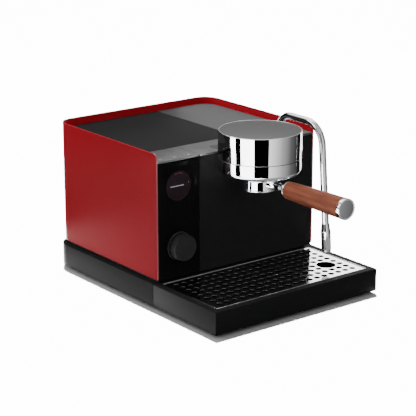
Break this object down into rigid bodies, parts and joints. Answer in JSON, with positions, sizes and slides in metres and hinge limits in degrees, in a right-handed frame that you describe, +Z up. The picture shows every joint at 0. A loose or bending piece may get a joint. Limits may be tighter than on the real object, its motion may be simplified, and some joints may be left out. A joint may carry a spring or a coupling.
{
  "type": "espresso machine",
  "caption": "Compact home espresso machine: painted wrap casing, round polished brew group with a bayonet portafilter, swivelling steam wand, drip tray with grate, lift-out water tank.",
  "frame": {"origin": "middle of the whole machine's footprint (handle end to base rear), on the surface it stands on", "axes": "+X to the right seen from the front, +Y towards the back, +Z up"},
  "size_m": [0.315, 0.523, 0.266],
  "materials": {
    "base_black": "satin black moulded plastic with a fine texture",
    "cover_black": "black powder-coated sheet",
    "foot_rubber": "soft black rubber",
    "screw_steel": "plain machine screws",
    "chassis_black": "matt black coated sheet",
    "wrap_red": "satin red paint on bent sheet",
    "panel_black": "satin black anodised sheet",
    "control_gloss": "piano-black gloss",
    "display_glass": "dark tinted lens, flush and glossy",
    "dial_black": "soft-touch black",
    "device_grey": "plain component housings",
    "deck_grey": "satin graphite metal",
    "board_green": "printed circuit board",
    "chrome": "mirror polish",
    "cap_steel": "fine satin brushed disc",
    "brass": "machined brass",
    "plain_steel": "plain stainless steel",
    "seal_rubber": "black seal rubber",
    "silicone": "milky silicone",
    "boiler_metal": "cast and machined",
    "copper": "drawn copper tube",
    "inlet_black": "moulded black",
    "tank_clear": "clear smoked plastic tank, glass stands in for it",
    "lid_dark": "dark matte lid with a fine texture",
    "grate_steel": "polished perforated steel",
    "basket_steel": "pressed stainless basket",
    "wood": "oiled reddish hardwood",
    "button_grey": "satin graphite keys, a shade lighter than the strip"
  },
  "bodies": {
    "machine": {"base_plinth": "base_black", "bottom_cover": "cover_black", "base_feet": "foot_rubber", "case_screws": "screw_steel", "chassis_pan": "chassis_black", "outer_wrap": "wrap_red", "vent_baffle": "chassis_black", "front_panel": "panel_black", "control_panel": "control_gloss", "display_lens": "display_glass", "dial_ring": "dial_black", "encoder_body": "device_grey", "deck_frame": "chassis_black", "front_strip": "deck_grey", "rear_deck": "deck_grey", "button_board": "board_green", "group_neck": "chrome", "group_shroud": "chrome", "group_skirt": "chrome", "group_cap": "cap_steel", "group_core": "brass", "lock_collar": "plain_steel", "group_gasket": "seal_rubber", "shower_screen": "plain_steel", "screen_screw": "screw_steel", "group_bracket": "plain_steel", "wand_collar": "chrome", "tank_shelf": "plain_steel", "tank_socket": "device_grey", "pump": "device_grey", "pump_mounts": "seal_rubber", "water_hoses": "silicone", "steam_boiler": "boiler_metal", "pressure_pipes": "copper", "control_board": "board_green", "power_board": "board_green", "power_inlet": "inlet_black"},
    "drip_tray": {"drip_tray": "base_black", "tray_feet": "foot_rubber"},
    "grate": {"drip_grate": "grate_steel"},
    "water_tank": {"water_tank": "tank_clear", "tank_valve": "silicone", "lid_pins": "screw_steel"},
    "tank_lid": {"tank_lid": "lid_dark"},
    "portafilter": {"portafilter_body": "chrome", "filter_basket": "basket_steel", "handle_rod": "screw_steel", "handle_ferrule": "chrome", "handle_grip": "wood", "handle_cap": "chrome"},
    "steam_wand": {"wand_tube": "chrome", "wand_sleeve": "chrome", "wand_nozzle": "plain_steel"},
    "dial_shaft": {"encoder_sleeve": "device_grey"},
    "dial": {"dial": "dial_black"},
    "brew_button": {"brew_button": "button_grey"},
    "steam_button": {"steam_button": "button_grey"},
    "water_button": {"water_button": "button_grey"},
    "power_rocker": {"rocker": "inlet_black"}
  },
  "joints": [
    {"name": "portafilter_turn", "type": "hinge", "parent": "machine", "child": "portafilter", "pos_m": [0, -0.0694, 0.2115], "axis": [0, 0, 1], "range_deg": [-45, 0]},
    {"name": "wand_swivel", "type": "hinge", "parent": "machine", "child": "steam_wand", "pos_m": [0.1085, 0.014, 0.229], "axis": [0, 0, 1], "range_deg": [-18, 50]},
    {"name": "tray_slide", "type": "slide", "parent": "machine", "child": "drip_tray", "axis": [0, -1, 0], "range_m": [0, 0.15]},
    {"name": "grate_lift", "type": "slide", "parent": "drip_tray", "child": "grate", "axis": [0, 0, 1], "range_m": [0, 0.016]},
    {"name": "tank_lift", "type": "slide", "parent": "machine", "child": "water_tank", "axis": [0, 0, 1], "range_m": [0, 0.1]},
    {"name": "lid_hinge", "type": "hinge", "parent": "water_tank", "child": "tank_lid", "pos_m": [-0.053, 0.227, 0.2234], "axis": [-1, 0, 0], "range_deg": [0, 80]},
    {"name": "dial_press", "type": "slide", "parent": "machine", "child": "dial_shaft", "axis": [0, 1, 0], "range_m": [0, 0.0012], "stiffness_N_per_m": 600, "springref_m": -0.001},
    {"name": "dial_turn", "type": "hinge", "parent": "dial_shaft", "child": "dial", "pos_m": [-0.1125, -0.0346, 0.094], "axis": [0, 1, 0], "continuous": true},
    {"name": "brew_button_press", "type": "slide", "parent": "machine", "child": "brew_button", "axis": [0, 0, -1], "range_m": [0, 0.0012], "stiffness_N_per_m": 600, "springref_m": -0.001},
    {"name": "steam_button_press", "type": "slide", "parent": "machine", "child": "steam_button", "axis": [0, 0, -1], "range_m": [0, 0.0012], "stiffness_N_per_m": 600, "springref_m": -0.001},
    {"name": "water_button_press", "type": "slide", "parent": "machine", "child": "water_button", "axis": [0, 0, -1], "range_m": [0, 0.0012], "stiffness_N_per_m": 600, "springref_m": -0.001},
    {"name": "power_switch", "type": "hinge", "parent": "machine", "child": "power_rocker", "pos_m": [0.106, 0.2522, 0.078], "axis": [-1, 0, 0], "range_deg": [0, 10]}
  ]
}
